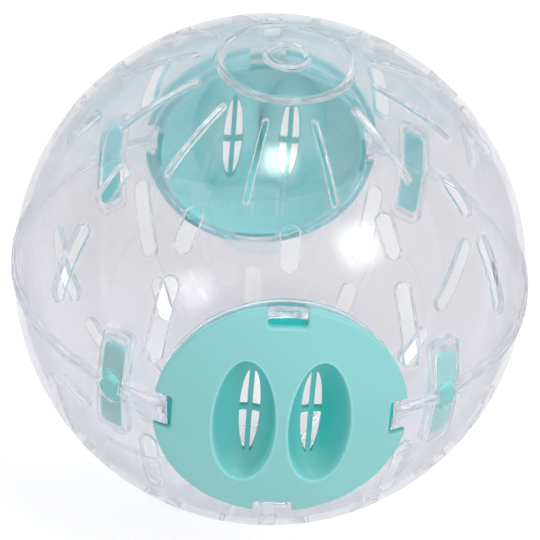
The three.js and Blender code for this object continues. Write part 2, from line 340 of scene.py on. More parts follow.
def flared(inside, outside, ease_in, ease_out, over=0.9, steps=5):
    """Rings (offset, distance) of a cutter through a wall: straight, with a rounded edge at each end."""
    turn = np.radians(np.linspace(0, 72, steps))
    out = [(ease_out * (1 - np.cos(a)), outside - ease_out * (1 - np.sin(a))) for a in turn]
    into = [(ease_in * (1 - np.cos(a)), inside + ease_in * (1 - np.sin(a))) for a in turn[::-1]]
    return [(into[0][0], inside - over)] + into + out + [(out[-1][0], outside + over)]


UPRIGHT, BEYOND = np.eye(3), 80.0
THROUGH = [(0, 50.0), (0, BEYOND)]
DOOR_AXES = {"front_door": np.array([[1.0, 0, 0], [0, 0, 1], [0, -1, 0]]),
             "rear_door": np.array([[-1.0, 0, 0], [0, 0, 1], [0, 1, 0]])}
QUARTERS = {door: [quarter(axes, turns) for turns in range(4)] for door, axes in DOOR_AXES.items()}
print("doors:", list(DOOR_AXES))

# %% [markdown]
# ## Writing node trees
#
# A finish is a tree of nodes. Written out one by one, the nodes and their links take many lines that
# hide the sum they stand for. The helpers below let a node be written like a call: what it works on
# goes in, and its output comes back.

# %%
# Node helpers
def feed(tree, given, entry):
    """Sets an entry to a value, or links it where the value is another node's output."""
    if isinstance(given, bpy.types.NodeSocket):
        tree.links.new(given, entry)
    else:
        entry.default_value = given


def add(tree, kind, entries=(), **settings):
    """A new node with its settings and its entries, by name or number."""
    node = tree.nodes.new(kind)
    for name, value in settings.items():
        setattr(node, name, value)
    for name, given in dict(entries).items():
        feed(tree, given, node.inputs[name])
    return node


def maths(tree, operation, *entries):
    """The output of a node that works on numbers."""
    return add(tree, "ShaderNodeMath", enumerate(entries), operation=operation).outputs[0]


def vectors(tree, operation, *entries, output="Vector"):
    """The output of a node that works on vectors."""
    return add(tree, "ShaderNodeVectorMath", enumerate(entries), operation=operation).outputs[output]


def ramp(tree, value, start, end, low, high, kind="SMOOTHSTEP"):
    """An output that goes from low to high as the value goes from start to end."""
    entries = {"Value": value, "From Min": start, "From Max": end, "To Min": low, "To Max": high}
    return add(tree, "ShaderNodeMapRange", entries, interpolation_type=kind).outputs["Result"]


def new_group(name, entries, results):
    """An empty node group; entries and results give each socket's name and kind."""
    tree = bpy.data.node_groups.new(name, "ShaderNodeTree")
    for way, sockets in (("INPUT", entries), ("OUTPUT", results)):
        for socket, kind in sockets.items():
            tree.interface.new_socket(name=socket, in_out=way, socket_type=f"NodeSocket{kind}")
    return tree


def object_place(tree):
    """The place on the object, in metres."""
    return add(tree, "ShaderNodeTexCoord").outputs["Object"]


# %% [markdown]
# ## Shared surface detail
#
# A polished moulding isn't perfectly even: its gloss and its level wander a little where the plastic
# cooled. One node group gives that to every finish, as a roughness and a height that vary with the
# place on the object.
#
# The second group colours the teal plastic and paints light and shade into it. Light that enters a deep
# hollow meets pigment many times, so the hollow looks darker and purer; here that is painted shade.
# Faces that light comes through from behind are painted paler, as painted light, and so is the rounded
# rim of a recess, as a painted highlight. The group mixes an open, a deep and a painted light colour
# by two numbers, and adds a faint mottle.
#
# The third group finds the rim of a recess, which gets a painted highlight. It could be stored on the
# mesh, but the mesh has too few points there for a soft line, so it is worked out from the place on the
# object.

# %%
# Node groups
def moulding_group():
    """Height is a broad noise over the place on the object. Roughness is the given one plus the spread
    times a nine times finer noise less a half."""
    entries = {"Scale": "Float", "Roughness": "Float", "Spread": "Float"}
    tree = new_group("Moulding", entries, {"Roughness": "Float", "Height": "Float"})
    given, place = add(tree, "NodeGroupInput").outputs, object_place(tree)
    broad = add(tree, "ShaderNodeTexNoise", {"Vector": place, "Scale": given["Scale"], "Detail": 2.0})
    fine_scale = maths(tree, "MULTIPLY", given["Scale"], 9.0)
    fine = add(tree, "ShaderNodeTexNoise", {"Vector": place, "Scale": fine_scale, "Detail": 4.0})
    centred = maths(tree, "SUBTRACT", fine.outputs["Fac"], 0.5)
    change = maths(tree, "MULTIPLY", centred, given["Spread"])
    roughness = maths(tree, "ADD", given["Roughness"], change)
    add(tree, "NodeGroupOutput", {"Roughness": roughness, "Height": broad.outputs["Fac"]})
    return tree


def pigment_and_painted_light_group():
    """Open colour, mixed with the deep colour of painted shade by depth and then with the painted light
    colour by its factor.
    """
    entries = {"Open colour": "Color", "Deep colour": "Color", "Painted light colour": "Color",
               "Depth": "Float", "Painted light": "Float"}
    tree = new_group("Pigment and painted light", entries, {"Colour": "Color"})
    given = add(tree, "NodeGroupInput").outputs
    mottle = add(tree, "ShaderNodeTexNoise", {"Vector": object_place(tree), "Scale": 55.0}).outputs["Fac"]
    mixed = given["Open colour"]
    # Painted shade by depth, then painted light and the painted rim highlight
    for factor, colour in (("Depth", "Deep colour"), ("Painted light", "Painted light colour")):
        entries = {"Factor": given[factor], 6: mixed, 7: given[colour]}
        mixed = add(tree, "ShaderNodeMix", entries, data_type="RGBA").outputs[2]
    shade = ramp(tree, mottle, 0.0, 1.0, 0.97, 1.03, "LINEAR")
    scaled = add(tree, "ShaderNodeVectorMath", {0: mixed, "Scale": shade}, operation="SCALE")
    add(tree, "NodeGroupOutput", {"Colour": scaled.outputs["Vector"]})
    return tree


def rim_highlight_group():
    """A painted highlight: 0.6 on the rim of a recess and 0 away from it.

    The place is folded onto one recess and divided by half its width and length. On the rim, an
    ellipse, the squares of these shares sum to 1. The distance from it is about that sum less 1,
    divided by twice the length of the shares that are divided once more by the half sizes."""
    tree = new_group("Painted highlight on recess rim", {}, {"Mask": "Float"})
    one_over = (1 / (RECESS_HALF_W + 0.3), 0.0, 1 / (RECESS_HALF_L + 0.3))
    level = vectors(tree, "MULTIPLY", object_place(tree), (1000.0, 0.0, 1000.0))
    folded = vectors(tree, "ABSOLUTE", vectors(tree, "SUBTRACT", level, (0.0, 0.0, RECESS_RISE)))
    share = vectors(tree, "MULTIPLY", vectors(tree, "SUBTRACT", folded, (RECESS_X, 0.0, 0.0)), one_over)
    slope = vectors(tree, "LENGTH", vectors(tree, "MULTIPLY", share, one_over), output="Value")
    size = vectors(tree, "LENGTH", share, output="Value")
    beyond = maths(tree, "SUBTRACT", maths(tree, "MULTIPLY", size, size), 1.0)
    away = maths(tree, "ABSOLUTE", maths(tree, "DIVIDE", beyond, maths(tree, "MULTIPLY", slope, 2.0)))
    add(tree, "NodeGroupOutput", {"Mask": ramp(tree, away, 0.15, 0.75, 0.6, 0.0)})
    return tree


MOULDING, PIGMENT_AND_PAINTED_LIGHT, RIM_HIGHLIGHT = moulding_group(), pigment_and_painted_light_group(), rim_highlight_group()
print("groups:", MOULDING.name, PIGMENT_AND_PAINTED_LIGHT.name, RIM_HIGHLIGHT.name)

# %% [markdown]
# ## The two plastics
#
# The shells are clear polystyrene with a faint cool tint. They refract like glass, and light that
# casts shadows passes straight through them, or the inside of the ball would be dark. Three things make
# them look like a thin moulding and not like a block of glass:
#
# - Where the wall is seen at a flat angle, most light passes without being bent, in a greyer tint. A
#   wall of even thickness hardly bends light, and this keeps the ball's outline calm and grey.
# - Light that is lost after many bounces between the walls comes back as a faint cool glow.
# - Collars, lugs and the side walls of the latch channels are ribs. They get a second finish that bends
#   even less, because their sharp corners would otherwise collect dark lines.
#
# The doors and latches are one satin teal plastic, with painted shade and painted light in its colour.
# A number on each point of their meshes, the depth, says how much is painted: 0 in the open, up to
# about 1 of painted shade in a recess, where it grows with how far in a point lies, and -1 of painted
# light on faces that light comes through from behind.

# %%
# Materials
CLEAR_TINT = (0.88, 0.87, 0.89, 1.0)
HAZE_TINT = (0.886, 0.883, 0.90, 1.0)
SHADOW_TINT = (0.90, 0.90, 0.915, 1.0)
LOST_LIGHT = (0.78, 0.87, 0.98, 1.0)
TEAL_OPEN = (0.285, 0.68, 0.68, 1.0)
# Painted shade for recesses and notches, and painted light for recess rims and faces lit from behind
TEAL_PAINTED_SHADE = (0.010, 0.53, 0.50, 1.0)
TEAL_PAINTED_LIGHT = (0.36, 0.85, 0.84, 1.0)
# The latch strip is painted paler than the doors and its back purer, both painted light
TEAL_LATCH_PAINTED_LIGHT = (0.41, 0.89, 0.86, 1.0)
TEAL_BUTTON = (0.265, 0.63, 0.63, 1.0)
TEAL_LATCH_BACK_PAINTED_LIGHT = (0.20, 0.92, 0.87, 1.0)
CLEAR_IOR, TEAL_IOR = 1.49, 1.46
LOST_AFTER_REFLECTIONS, LOST_AFTER_BOUNCES = (1.5, 3.5, 0.0, 0.26), (6.5, 9.0, 0.0, 0.5)
FLAT_START, FLAT_END, FLAT_SHARE = 0.5, 0.88, 0.75


def plain_material(name):
    """A new material with its node tree, its shader and its output."""
    material = bpy.data.materials.new(name)
    material.use_nodes = True
    tree = material.node_tree
    return material, tree, tree.nodes["Principled BSDF"], tree.nodes["Material Output"]


def add_moulding(tree, shader, scale, roughness, spread, strength, distance):
    """Varying roughness and a very low swell for a shader."""
    entries = {"Scale": scale, "Roughness": roughness, "Spread": spread}
    detail = add(tree, "ShaderNodeGroup", entries, node_tree=MOULDING)
    entries = {"Strength": strength, "Distance": distance, "Height": detail.outputs["Height"]}
    bump = add(tree, "ShaderNodeBump", entries)
    feed(tree, detail.outputs["Roughness"], shader.inputs["Roughness"])
    feed(tree, bump.outputs["Normal"], shader.inputs["Normal"])


def clear_material(name, straight):
    """Clear plastic; straight is the share of light that passes without being bent.

    The share rises to FLAT_SHARE at flat angles. The glow is the greater of two: one grows with the
    number of reflections behind a ray and one with all its bounces."""
    material, tree, shader, output = plain_material(name)
    plain = {"Base Color": CLEAR_TINT, "Transmission Weight": 1.0, "IOR": CLEAR_IOR,
             "Emission Color": LOST_LIGHT}
    for entry, value in plain.items():
        shader.inputs[entry].default_value = value
    add_moulding(tree, shader, scale=30.0, roughness=0.03, spread=0.02, strength=0.35, distance=0.00012)
    path = add(tree, "ShaderNodeLightPath").outputs
    reflections = ramp(tree, path["Glossy Depth"], *LOST_AFTER_REFLECTIONS, "LINEAR")
    bounces = ramp(tree, path["Ray Depth"], *LOST_AFTER_BOUNCES, "LINEAR")
    feed(tree, maths(tree, "MAXIMUM", reflections, bounces), shader.inputs["Emission Strength"])
    facing = add(tree, "ShaderNodeLayerWeight").outputs["Facing"]
    share = ramp(tree, facing, FLAT_START, FLAT_END, straight, max(FLAT_SHARE, straight))
    haze = add(tree, "ShaderNodeBsdfTransparent", {"Color": HAZE_TINT}).outputs["BSDF"]
    seen = add(tree, "ShaderNodeMixShader", {"Fac": share, 1: shader.outputs["BSDF"], 2: haze})
    shade = add(tree, "ShaderNodeBsdfTransparent", {"Color": SHADOW_TINT}).outputs["BSDF"]
    entries = {"Fac": path["Is Shadow Ray"], 1: seen.outputs["Shader"], 2: shade}
    feed(tree, add(tree, "ShaderNodeMixShader", entries).outputs["Shader"], output.inputs["Surface"])
    return material


def teal_material(name, open_colour, deep_colour, painted_light_colour):
    """Satin plastic: the deep colour as painted shade where depth is 1, and painted light where it is -1,
    with a painted highlight on a recess's rim.
    """
    material, tree, shader, _ = plain_material(name)
    # depth above 0 is painted shade, and below 0 painted light
    depth = add(tree, "ShaderNodeAttribute", attribute_name="depth").outputs["Fac"]
    rim = add(tree, "ShaderNodeGroup", node_tree=RIM_HIGHLIGHT).outputs["Mask"]
    # The share of painted light: where depth is below 0, and the painted highlight on a recess's rim
    edge = maths(tree, "MAXIMUM", maths(tree, "MULTIPLY", depth, -1.0), rim)
    entries = {"Open colour": open_colour, "Deep colour": deep_colour, "Painted light colour": painted_light_colour,
               "Depth": depth, "Painted light": edge}
    colour = add(tree, "ShaderNodeGroup", entries, node_tree=PIGMENT_AND_PAINTED_LIGHT).outputs["Colour"]
    feed(tree, colour, shader.inputs["Base Color"])
    shader.inputs["IOR"].default_value = TEAL_IOR
    add_moulding(tree, shader, scale=60.0, roughness=0.36, spread=0.08, strength=0.2, distance=0.0001)
    return material


CLEAR = clear_material("clear_plastic", straight=0.12)
CLEAR_RIB = clear_material("clear_rib_plastic", straight=0.72)
TEAL = teal_material("teal_plastic", TEAL_OPEN, TEAL_PAINTED_SHADE, TEAL_PAINTED_LIGHT)
STRIP = teal_material("teal_latch_painted_light_plastic", TEAL_LATCH_PAINTED_LIGHT, TEAL_BUTTON, TEAL_LATCH_BACK_PAINTED_LIGHT)


def dressed(obj, materials, node):
    """Gives a finished piece its finishes, hides the node that it replaces and attaches it to its body."""
    obj.data.materials.clear()
    for material in materials:
        obj.data.materials.append(material)
    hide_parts(node)
    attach(obj, BODY_OF[node])
    return obj


BODY_OF = {node: body for body, nodes in frame["record"]["behaviour"]["bodies"].items() for node in nodes}
print("materials:", CLEAR.name, CLEAR_RIB.name, TEAL.name, STRIP.name)

# %% [markdown]
# ## The shells
#
# Each hemisphere is one profile turned about the upright axis: outside it runs from the boss at the
# pole over a raised ring to the seam band, inside it is a plain sphere. The lower shell carries a thin
# lip that the upper one covers, so the halves can't slip. The boss, ring and band could be joined to a
# plain sphere, but one profile leaves no joints inside the clear plastic.

# %%
# Hemispheres
def hemisphere(name, side):
    """side is 1 above the seam and -1 below; the profile runs from the outer pole to the inner one."""
    foot = np.degrees(np.arcsin(BAND_HALF / BALL))
    corners = [(0, height_on(BALL, 0)), *arc(BALL, 89, angle_at(BALL, BORE - 0.6), 1)]
    corners += [(BORE, height_on(BALL, BORE), 0.35), (BORE, BALL + BOSS_STAND, 0.25)]
    corners += [(BOSS, BALL + BOSS_STAND, 0.3), (BOSS, height_on(BALL, BOSS), 0.7)]
    corners += arc(BALL, angle_at(BALL, BOSS + 1.0), angle_at(BALL, RING - RING_HALF - 0.9))
    corners += [(RING - RING_HALF, height_on(BALL, RING - RING_HALF), 0.4)]
    corners += [(RING - RING_HALF + 0.3, height_on(BALL + RING_STAND, RING), 0.4)]
    corners += [(RING + RING_HALF - 0.3, height_on(BALL + RING_STAND, RING), 0.4)]
    corners += [(RING + RING_HALF, height_on(BALL, RING + RING_HALF), 0.4)]
    corners += arc(BALL, angle_at(BALL, RING + RING_HALF + 0.9), foot + 0.9)
    corners += [(height_on(BALL, BAND_HALF), BAND_HALF, 0.35), (BALL + BAND_STAND, BAND_HALF, 0.35)]
    corners += [(BALL + BAND_STAND, HALF_SEAM, 0.2)]
    if side > 0:
        corners += [(INNER + REBATE, HALF_SEAM), (INNER + REBATE, REBATE_END), (INNER, REBATE_END)]
        first_angle = 3.2
    else:
        corners += [(INNER + LIP, HALF_SEAM), (INNER + LIP, -LIP_END, 0.2), (INNER + 0.1, -LIP_END, 0.2)]
        corners += [(INNER + 0.1, LIP_FOOT), (INNER, LIP_FOOT)]
        first_angle = 2.6
    corners += arc(INNER, first_angle, 89) + [(0, INNER)]
    profile = eased(corners)
    return turned(name, profile * (1, side), UPRIGHT)


# %% [markdown]
# ## Slots, channels and doorways
#
# Three rows of slots let air in: thin ones near the pole, short wide ones below and long wide ones
# beside the doors. Round the doorways stand a collar and four small lugs, and behind each latch the
# wall is thickened to hold a channel. All these are cut or joined on the turned body.
#
# The slots could be one pattern in a picture, but they are open: the far wall shows through them, and
# their rounded edges catch the light. So each is a real hole, cut by a plug that flares at both ends.
# The faces of ribs are then picked out by where they lie, and take the second clear finish.

# %%
# Whole shells
def trimmed(piece, side):
    """A feature cut off at the seam, which keeps its smooth normals for the next cut."""
    square = 100.0 * np.array([[1, -1], [1, 1], [-1, 1], [-1, -1]], dtype=float)
    slab = plugs("slab", square, [(0, -100.0), (0, HALF_SEAM)], [UPRIGHT * (1, 1, side)], level=True)
    carve(piece, ("DIFFERENCE", slab))
    keep_normals(piece.data)
    return piece


def seat(frames, axes):
    """A doorway's collar, and the lugs that stand on it in the door's notches."""
    top = height_on(BALL, DOORWAY)
    ring = eased([(DOORWAY, SKIRT_END, 0.35), (COLLAR_OUT, SKIRT_END, 0.35),
                  (COLLAR_OUT, height_on(BALL, COLLAR_OUT), 0.3), (DOORWAY, top, 0.3)])
    lug = rounded(DOORWAY + 0.1, COLLAR_OUT, -LUG_HALF, LUG_HALF, 0.5, 1.0, 5)
    tip = height_on(BALL + LUG_STAND, COLLAR_OUT)
    levels = [(0, 62.0), (0, tip - 0.3), (-0.09, tip - 0.09), (-0.3, tip)]
    return [turned("collar", ring, axes, ring=True), plugs("lugs", lug, levels, frames, level=True)]


def shell(name, side):
    """A hemisphere with its slots, latch channels, doorways, collars and lugs; side is 1 or -1."""
    body = hemisphere(name, side)
    around = np.arange(12) * 30.0
    beside = [a for a in around if 0.1 < abs(np.cos(np.radians(a))) < 0.95]
    steps = []
    rows = [(POLE_SLOTS, around + 15), (SHORT_SLOTS, around), (LONG_SLOTS, beside)]
    for (low, high, half, ease), azimuths in rows:
        reach = BALL * np.sin(np.radians((high - low) / 2))
        outline = rounded(-half, half, -reach, reach, half, 1.4, 12)
        frames = [on_ball(side * (low + high) / 2, azimuth) for azimuth in azimuths]
        cutter = plugs("slots", outline, flared(INNER, BALL, SLOT_INNER_EASE, ease), frames)
        steps.append(("DIFFERENCE", cutter))
    at_latches = [on_ball(0, azimuth) for azimuth in LATCH_AZIMUTHS.values()]
    half, back = CHANNEL_HALF_W + CHANNEL_WALL, CHANNEL_FLOOR - CHANNEL_WALL
    around_channel = rounded(-half, half, CHANNEL_LOW - CHANNEL_WALL, CHANNEL_HIGH + CHANNEL_WALL, 2.4)
    levels = domed(-0.4, back) + [(-0.12, back + 0.1), (0, back + 0.4)] + domed(0, CHANNEL_TOP + 0.3)[::-1]
    steps.append(("UNION", trimmed(plugs("backing", around_channel, levels, at_latches), side)))
    channel = rounded(-CHANNEL_HALF_W, CHANNEL_HALF_W, CHANNEL_LOW, CHANNEL_HIGH, 1.9)
    walls = domed(0, CHANNEL_FLOOR) + domed(0, CHANNEL_TOP)[::-1]
    steps.append(("DIFFERENCE", plugs("channel", channel, walls, at_latches)))
    half = BUTTON + GAP
    low, high = -LATCH_DROP - LATCH_FALL - half, -LATCH_DROP + LATCH_RISE + half
    slot = rounded(-half, half, low, high, half, 1.0, 12)
    edge = [(0, 70.6), (0, 73.0), (0.03, 73.15), (0.12, 73.27), (0.12, 75.0)]
    steps.append(("DIFFERENCE", plugs("button_slot", slot, edge, at_latches)))
    for axes in DOOR_AXES.values():
        steps.append(("DIFFERENCE", plugs("doorway", circle(DOORWAY), THROUGH, [axes])))
    for door, axes in DOOR_AXES.items():
        steps += [("UNION", trimmed(piece, side)) for piece in seat(QUARTERS[door], axes)]
    whole = carve(body, *steps)
    rib = ribs(whole.data)
    whole.data.polygons.foreach_set("material_index", rib.astype(np.int32))
    print(name, "rib faces:", int(rib.sum()))
    return whole


def ribs(mesh):
    """True for the faces of the collars and lugs, and for the side walls round the latch channels.

    level is 1 on a face that lies along the ball and 0 on one that stands upright on it."""
    centre = read(mesh.polygons, "center") * 1000.0
    reach = np.linalg.norm(centre, axis=1)
    level = np.abs(np.einsum("ij,ij->i", centre, read(mesh.polygon_normals, "vector"))) / reach
    from_axis = np.hypot(centre[:, 0], centre[:, 2])
    found = (from_axis > DOORWAY - 0.2) & (from_axis < COLLAR_OUT + 0.2) & (np.abs(centre[:, 1]) > 50)
    for azimuth in LATCH_AZIMUTHS.values():
        east, _, out = on_ball(0, azimuth) @ centre.T
        beside = np.abs(east) < CHANNEL_HALF_W + CHANNEL_WALL + 0.3
        found |= beside & (out > 60) & (reach < BALL - 0.3) & (level < 0.85)
    return found


for node, side in (("upper_shell", 1), ("lower_shell", -1)):
    dressed(shell(f"{node}_looks", side), (CLEAR, CLEAR_RIB), node)

# %% [markdown]
# ## The doors
#
# A door is a shallow dome with a skirt behind it. The fingers grip it in two long recesses, whose
# floors carry leaf-shaped vents divided by a cross. Four notches in the rim leave room for the lugs.
#
# A recess could be pressed into the dome by moving its points, but that stretches them on the steep
# wall. Here it is half an ellipsoid hung from the dome: its ring at share d of the depth has half width
# and half length times the root of 1 - d squared, and it shifts towards the door's middle as it
# deepens. The same form, 1.5 mm larger, makes the back of the recess.

# %%
# Recesses and vents
def bowl(name, side, axes, margin, ease, lid):
    """An ellipsoid that hangs from the dome. With a lid it flares at the dome and rises to the lid, and
    without one it closes 1 mm under the dome.

    Its rings lie at depths that are cosines of even angles, and their widths are the sines, so they
    follow the curve evenly. The highest lies at a small share of the depth, and a larger one where an
    eased rim comes above it."""
    columns = 128
    angle = np.linspace(0, 2 * np.pi, columns, endpoint=False)
    start = 0.11 if ease else 0.02
    down = np.concatenate([[1.0], np.cos(np.radians(np.linspace(4, 90 - np.degrees(np.arcsin(start)), 26)))])
    spread = np.sqrt(1 - down ** 2)
    depth = (RECESS_DEPTH + margin) * down
    offset = np.zeros_like(down)
    if ease:
        turn = np.radians(np.linspace(12, 72, 6))
        down = np.concatenate([down, np.zeros(6)])
        spread = np.concatenate([spread, np.full(6, spread[-1])])
        offset = np.concatenate([offset, ease * (1 - np.cos(turn))])
        depth = np.concatenate([depth, ease * (1 - np.sin(turn))])
    x = side * (RECESS_X - RECESS_LEAN * down[:, None]) \
        + (spread[:, None] * (RECESS_HALF_W + margin) + offset[:, None]) * np.cos(angle)
    y = (spread[:, None] * (RECESS_HALF_L + margin) + offset[:, None]) * np.sin(angle) + RECESS_RISE
    z = height_on(DOOR_OUT, np.hypot(x, y)) - depth[:, None]
    if lid:
        x, y = np.vstack([x, x[-1:]]), np.vstack([y, y[-1:]])
        z = np.vstack([z, np.full((1, len(angle)), lid)])
    else:
        shrink = np.linspace(1, 0, 8)[:, None]
        middle = side * RECESS_X
        xs, ys = middle + (x[-1] - middle) * shrink, RECESS_RISE + (y[-1] - RECESS_RISE) * shrink
        x, y = np.vstack([x, xs]), np.vstack([y, ys])
        z = np.vstack([z, height_on(DOOR_OUT - 1.0, np.hypot(xs, ys))])
    points = np.stack([x, y, z], -1).reshape(-1, 3) @ axes
    rows = len(x)
    caps = [range((rows - 1) * columns, rows * columns)] if lid else []
    return mesh_object(name, points, grid_faces(rows, columns), caps)


def vent_panes():
    """The four panes of one leaf: a long ellipse, less the bars of a cross."""
    start = np.arcsin(VENT_BAR / VENT_HALF_L)
    end = np.arccos(VENT_BAR / VENT_HALF_W)
    angle = np.linspace(start, end, 16)
    x, y = VENT_HALF_W * np.cos(angle), VENT_HALF_L * np.sin(angle)
    corners = [(VENT_BAR, VENT_BAR, 0.25), (x[0], VENT_BAR, 0.25)]
    corners += list(zip(x[1:-1], y[1:-1])) + [(VENT_BAR, y[-1], 0.12)]
    pane = eased(corners)
    panes = []
    for sx in (1, -1):
        for sy in (1, -1):
            flipped = pane * (sx, sy)
            panes.append(flipped if sx * sy > 0 else flipped[::-1])
    return panes


def vents(side, axes):
    """Level cutters for one recess's panes, right through its floor."""
    shift = np.array([side * (RECESS_X - RECESS_LEAN), VENT_RISE])
    return [plugs("pane", pane + shift, THROUGH, [axes], level=True) for pane in vent_panes()]


# %% [markdown]
# ## Whole doors
#
# The backs of the recesses are joined to the turned cap first, and then the recesses, the notches and
# the vents are cut, so that no wall is left closed behind an opening.
#
# The depth that paints shade and light into the plastic's colour is stored on the same mesh.
# Its painted shade grows quickly below the rim and slowly towards the floor, most on the outer wall of
# the right-hand recess as seen from outside, and fades at the foot of each recess, which is painted
# lighter. On the front door that wall faces away from the front softbox. The notches and the edges of
# the vents get painted shade too.

# %%
# Whole doors
# Painted shade in a recess, more on the wall away from the light, and painted light at its foot
PAINTED_SHADE_BASE, PAINTED_SHADE_FLOOR, PAINTED_SHADE_WALL, PAINTED_LIGHT_FOOT = 0.44, 0.16, 0.58, 0.45


def door(name, axes, frames):
    """A turned cap with its skirt, less the recesses, notches and vents; frames are the four notches'."""
    under = angle_at(DOOR_IN, SKIRT_IN)
    corners = [(0, DOOR_OUT), *arc(DOOR_OUT, 89, angle_at(DOOR_OUT, DOOR - 2.2))]
    corners += [(DOOR, height_on(DOOR_OUT, DOOR), 1.1), (DOOR, height_on(DOOR_IN, DOOR), 0.35)]
    corners += arc(DOOR_IN, angle_at(DOOR_IN, DOOR - 0.9), angle_at(DOOR_IN, SKIRT_OUT + 0.9))
    corners += [(SKIRT_OUT, height_on(DOOR_IN, SKIRT_OUT), 0.35)]
    corners += [(SKIRT_OUT, SKIRT_END, 0.45), (SKIRT_IN, SKIRT_END, 0.45)]
    corners += [(SKIRT_IN, height_on(DOOR_IN, SKIRT_IN), 0.7), *arc(DOOR_IN, under + 1.0, 89), (0, DOOR_IN)]
    cap = turned(name, eased(corners), axes)
    steps = [("UNION", bowl("back", side, axes, RECESS_WALL, 0.0, 0)) for side in (1, -1)]
    steps += [("DIFFERENCE", bowl("recess", side, axes, 0.0, RECESS_EASE, BEYOND)) for side in (1, -1)]
    notch = rounded(NOTCH_FLOOR, 42.0, -NOTCH_HALF, NOTCH_HALF, 1.0, 1.0, 6)
    turn = np.radians(np.linspace(0, 72, 6))
    rings = [(NOTCH_EASE * (1 - np.cos(a)), DOOR_OUT - NOTCH_EASE * (1 - np.sin(a))) for a in turn]
    rings = domed(0, NOTCH_BASE, 3) + rings + [(rings[-1][0], 77.0)]
    steps.append(("DIFFERENCE", plugs("notches", notch, rings, frames)))
    steps += [("DIFFERENCE", pane) for side in (1, -1) for pane in vents(side, axes)]
    return carve(cap, *steps)


def store_painted_shade_and_light(obj, axes):
    """Writes 0 on the dome, painted shade up to about 1 in a recess, and -1 behind, where light comes
    through, as painted light.

    With d the share of the recess's depth below the dome, form is the sum of squares that is 1 on the
    recess's ellipsoid. There the painted shade is a smooth step of d times the sum of a base, a share that
    grows with d and a share on the outer wall, which faces away from the light, that grows with d
    squared, less a share at the foot, which is painted lighter. Elsewhere the notches get 1 and the edges
    of the vents 0.8 of painted shade."""
    x, y, z = (coordinates(obj.data) @ np.asarray(axes).T).T
    down = (height_on(DOOR_OUT, np.hypot(x, y)) - z) / RECESS_DEPTH
    across = (np.abs(x) - RECESS_X + RECESS_LEAN * down) / RECESS_HALF_W
    form = across ** 2 + ((y - RECESS_RISE) / RECESS_HALF_L) ** 2 + down ** 2
    low, rise = np.clip(down, 0, 1), np.clip(down / 0.4, 0, 1)
    wall, foot = np.clip((x - RECESS_X + 3) / 5, 0, 1), np.clip((-y - 11) / 7, 0, 1)
    shade = PAINTED_SHADE_BASE + PAINTED_SHADE_FLOOR * low + PAINTED_SHADE_WALL * wall * low ** 2
    depth = rise ** 2 * (3 - 2 * rise) * shade * (1 - PAINTED_LIGHT_FOOT * foot)
    leaf = ((np.abs(x) - RECESS_X + RECESS_LEAN) / VENT_HALF_W) ** 2 + ((y - VENT_RISE) / VENT_HALF_L) ** 2
    # Painted light, -1, on faces lit from behind, and painted shade, 0.8, on the edges of the vents
    behind = np.where(down * RECESS_DEPTH > 1.0, np.where(leaf < 1.1, 0.8, -1.0), 0.0)
    in_notch = (np.minimum(np.abs(x), np.abs(y)) < NOTCH_HALF + 0.1) & (np.hypot(x, y) > NOTCH_FLOOR - 0.2)
    # Painted shade in the notches
    behind = np.where(in_notch & (down * RECESS_DEPTH > 1.6), 1.0, behind)
    store(obj, "depth", np.where(form < 1.12, depth, behind))


def store(obj, name, values):
    """Writes one number for each vertex, which the material reads."""
    obj.data.attributes.new(name, "FLOAT", "POINT").data.foreach_set("value", values.astype(np.float32))


for node, axes in DOOR_AXES.items():
    piece = door(f"{node}_looks", axes, QUARTERS[node])
    store_painted_shade_and_light(piece, axes)
    dressed(piece, (TEAL,), node)

# %% [markdown]
# ## The latches
#
# A latch is a curved strip that slides in a closed channel behind the wall, so most of it is seen
# through clear plastic. A round button reaches out through a slot for the thumb. A flat bar would be
# simpler, but its ends would leave the wall. Strip and button are plugs that follow the ball.
#
# The clear cover in front of a strip takes some of its colour away, so the strip is painted paler than
# the doors' plastic and its back purer, both painted light, and the button, which stands in the open,
# is as deep as a door.

# %%
# Latches
def latch(name, azimuth):
    """A strip along the ball with its button, as one solid, at its place below the seam."""
    axes = [on_ball(-np.degrees(LATCH_DROP / LATCH_OUT), azimuth)]
    outline = rounded(-LATCH_HALF_W, LATCH_HALF_W, -LATCH_HALF_L, LATCH_HALF_L, 1.6)
    edges = [(-0.06, LATCH_IN + 0.06), (0, LATCH_IN + 0.2), (0, LATCH_OUT - 0.2), (-0.06, LATCH_OUT - 0.06)]
    strip = plugs(name, outline, domed(-0.2, LATCH_IN) + edges + domed(-0.2, LATCH_OUT)[::-1], axes)
    turn = np.radians(np.linspace(0, 90, 6))
    rim = [(-BUTTON_EASE * (1 - np.cos(a)), BUTTON_TOP - BUTTON_EASE * (1 - np.sin(a))) for a in turn]
    crown = [(-BUTTON_EASE, BUTTON_TOP, share) for share in (0.7, 0.35, 0.0)]
    button = plugs("button", circle(BUTTON, 96), [(0, 70.6), *rim, *crown], axes)
    whole = carve(strip, ("UNION", button))
    reach = np.linalg.norm(coordinates(whole.data), axis=1)
    # The button keeps about the doors' colour; the strip and its back, at -1, get painted light
    store(whole, "depth", np.where(reach > LATCH_OUT + 0.3, 1.0, np.where(reach < LATCH_IN + 0.3, -1.0, 0.0)))
    return whole


for place, azimuth in LATCH_AZIMUTHS.items():
    dressed(latch(f"latch_{place}_looks", azimuth), (STRIP,), f"latch_{place}")

# %% [markdown]
# ## Floor and surroundings
#
# A clear object shows mostly what lies behind and around it, so it stands in a bright, even room on a
# pale floor. What is seen directly is white. What is seen through a clear wall is a little dimmer, so
# that the wall reads against an open slot, and a reflection is dimmer still. The floor could be plain
# white light too, but then it would take no shadow. It glows a little and is lit for the rest.

# %%
# Floor and surroundings
FLOOR_HEIGHT = -73.65


